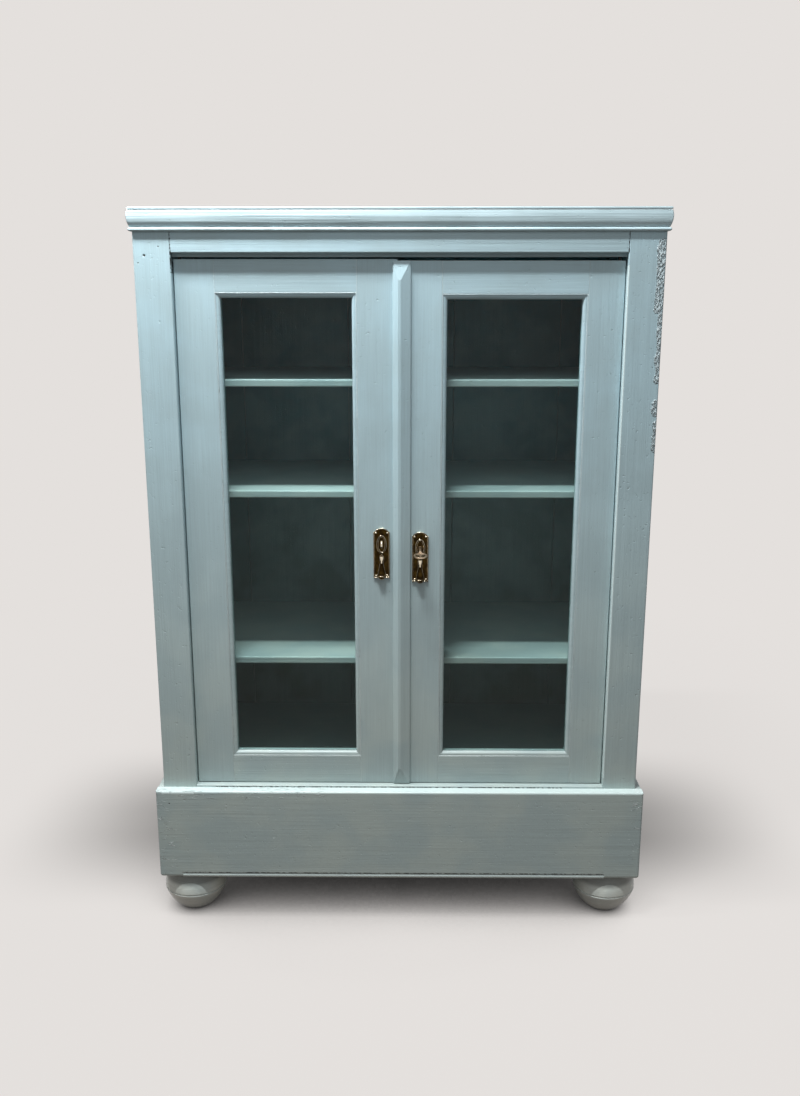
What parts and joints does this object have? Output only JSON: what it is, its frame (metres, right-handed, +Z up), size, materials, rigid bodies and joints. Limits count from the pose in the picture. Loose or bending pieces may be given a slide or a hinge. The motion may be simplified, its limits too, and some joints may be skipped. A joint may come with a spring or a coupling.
{
  "type": "display cabinet",
  "caption": "Tall painted wooden display cabinet with a pair of glazed doors, shelves, a key lock, a moulded cornice and a box plinth on turned bun feet.",
  "frame": {"origin": "on the floor, in the middle of the whole cabinet's footprint (its key included)", "axes": "+Z up, the doors face -Y, +X to the right as seen from the front"},
  "size_m": [0.932, 0.4647, 1.3247],
  "materials": {
    "painted_wood": "brushed matt paint over old pine, chipped and worn at the edges",
    "bare_wood": "old dark stained softwood, unplaned",
    "glass": "clear sheet glass",
    "brass": "antique cast brass, dark in the hollows and rubbed bright on the edges",
    "steel": "old wrought iron and steel, dark and lightly worn"
  },
  "bodies": {
    "cabinet": {"top_board": "painted_wood", "frieze": "painted_wood", "upper_rail": "painted_wood", "floor_board": "painted_wood", "back_boards": "bare_wood", "cornice_front": "painted_wood", "cornice_left": "painted_wood", "cornice_right": "painted_wood", "plinth_front": "painted_wood", "plinth_back": "bare_wood", "foot_blocks": "bare_wood", "upper_sockets": "steel", "lower_sockets": "steel", "left_side": "painted_wood", "right_side": "painted_wood", "left_front_stile": "painted_wood", "right_front_stile": "painted_wood", "left_shelf_battens": "bare_wood", "right_shelf_battens": "bare_wood", "plinth_left": "painted_wood", "plinth_right": "painted_wood", "lower_shelf": "painted_wood", "middle_shelf": "painted_wood", "upper_shelf": "painted_wood", "front_left_foot": "painted_wood", "front_right_foot": "painted_wood", "back_left_foot": "painted_wood", "back_right_foot": "painted_wood"},
    "left_door": {"left_hinge_stile": "painted_wood", "left_closing_stile": "painted_wood", "left_top_rail": "painted_wood", "left_bottom_rail": "painted_wood", "left_glass": "glass", "left_glazing_beads": "painted_wood", "left_back_beads": "painted_wood", "left_pivots": "steel", "left_key_plate": "brass", "left_plate_pins": "brass", "lock_keep": "steel", "upper_bolt_plate": "steel", "lower_bolt_plate": "steel"},
    "right_door": {"right_hinge_stile": "painted_wood", "right_closing_stile": "painted_wood", "right_top_rail": "painted_wood", "right_bottom_rail": "painted_wood", "right_glass": "glass", "right_glazing_beads": "painted_wood", "right_back_beads": "painted_wood", "right_pivots": "steel", "right_key_plate": "brass", "right_plate_pins": "brass", "meeting_strip": "painted_wood", "lock_case": "steel"},
    "key": {"key": "steel"},
    "lock_bolt": {"lock_bolt": "steel"},
    "upper_bolt": {"upper_bolt": "steel"},
    "lower_bolt": {"lower_bolt": "steel"}
  },
  "joints": [
    {"name": "right_door_swing", "type": "hinge", "parent": "cabinet", "child": "right_door", "pos_m": [0.3755, -0.17569, 0.2735], "axis": [0, 0, 1], "range_deg": [0, 105]},
    {"name": "left_door_swing", "type": "hinge", "parent": "cabinet", "child": "left_door", "pos_m": [-0.3755, -0.17569, 0.2735], "axis": [0, 0, -1], "range_deg": [0, 105]},
    {"name": "key_turn", "type": "hinge", "parent": "right_door", "child": "key", "pos_m": [0.038, -0.18069, 0.736], "axis": [0, -0.9925, -0.1219], "range_deg": [-90, 270]},
    {"name": "lock_bolt_slide", "type": "slide", "parent": "right_door", "child": "lock_bolt", "axis": [-1, 0, 0], "range_m": [-0.0025, 0.0075]},
    {"name": "upper_bolt_slide", "type": "slide", "parent": "left_door", "child": "upper_bolt", "axis": [0, 0, 1], "range_m": [0, 0.014]},
    {"name": "lower_bolt_slide", "type": "slide", "parent": "left_door", "child": "lower_bolt", "axis": [0, 0, -1], "range_m": [0, 0.012]}
  ],
  "couplings": [
    {"joint": "left_door_swing", "follows": "right_door_swing", "ratio": 1},
    {"joint": "key_turn", "follows": "lock_bolt_slide", "rad_per_m": 628.32}
  ]
}
